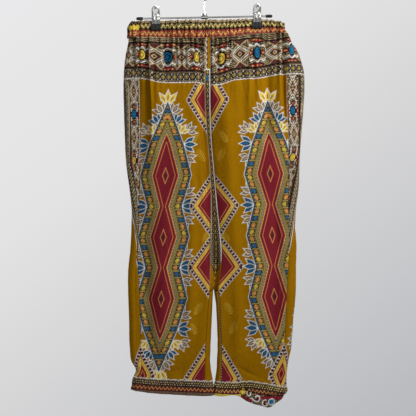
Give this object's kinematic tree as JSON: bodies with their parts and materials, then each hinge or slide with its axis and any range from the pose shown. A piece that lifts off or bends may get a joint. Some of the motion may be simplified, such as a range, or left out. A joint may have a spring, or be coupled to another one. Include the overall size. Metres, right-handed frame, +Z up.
{
  "type": "harem pants on a clip hanger",
  "caption": "Loose printed pants with an elastic waist, a long wedge gusset and banded hems, hanging flat from a metal clip hanger.",
  "frame": {"origin": "the seat inside the top of the hanger's hook, where a rail or peg carries it", "axes": "+Z up, -Y to the front of the garment, -X to the wearer's right side"},
  "size_m": [0.4654, 0.0484, 1.0923],
  "materials": {
    "leg_cloth": "mustard printed plain-weave cotton",
    "waist_casing": "border-printed cotton gathered on elastic",
    "gusset_cloth": "printed plain-weave cotton",
    "hem_cloth": "border-printed cotton",
    "hanger_metal": "bright chrome-plated steel",
    "hanger_rubber": "black ribbed rubber"
  },
  "bodies": {
    "root": {"waistband_front": "waist_casing", "waistband_back": "waist_casing", "right_leg_front": "leg_cloth", "right_leg_back": "leg_cloth", "left_leg_front": "leg_cloth", "left_leg_back": "leg_cloth", "gusset_front": "gusset_cloth", "gusset_back": "gusset_cloth", "right_hem_band": "hem_cloth", "left_hem_band": "hem_cloth", "hanger_bar": "hanger_metal", "right_bar_cap": "hanger_rubber", "left_bar_cap": "hanger_rubber", "hook": "hanger_metal", "hook_collar": "hanger_metal", "hook_sleeve": "hanger_metal", "right_clip_front_jaw": "hanger_metal", "right_clip_back_jaw": "hanger_metal", "right_clip_front_grip": "hanger_rubber", "right_clip_back_grip": "hanger_rubber", "right_clip_spring": "hanger_metal", "left_clip_front_jaw": "hanger_metal", "left_clip_back_jaw": "hanger_metal", "left_clip_front_grip": "hanger_rubber", "left_clip_back_grip": "hanger_rubber", "left_clip_spring": "hanger_metal"}
  },
  "joints": []
}
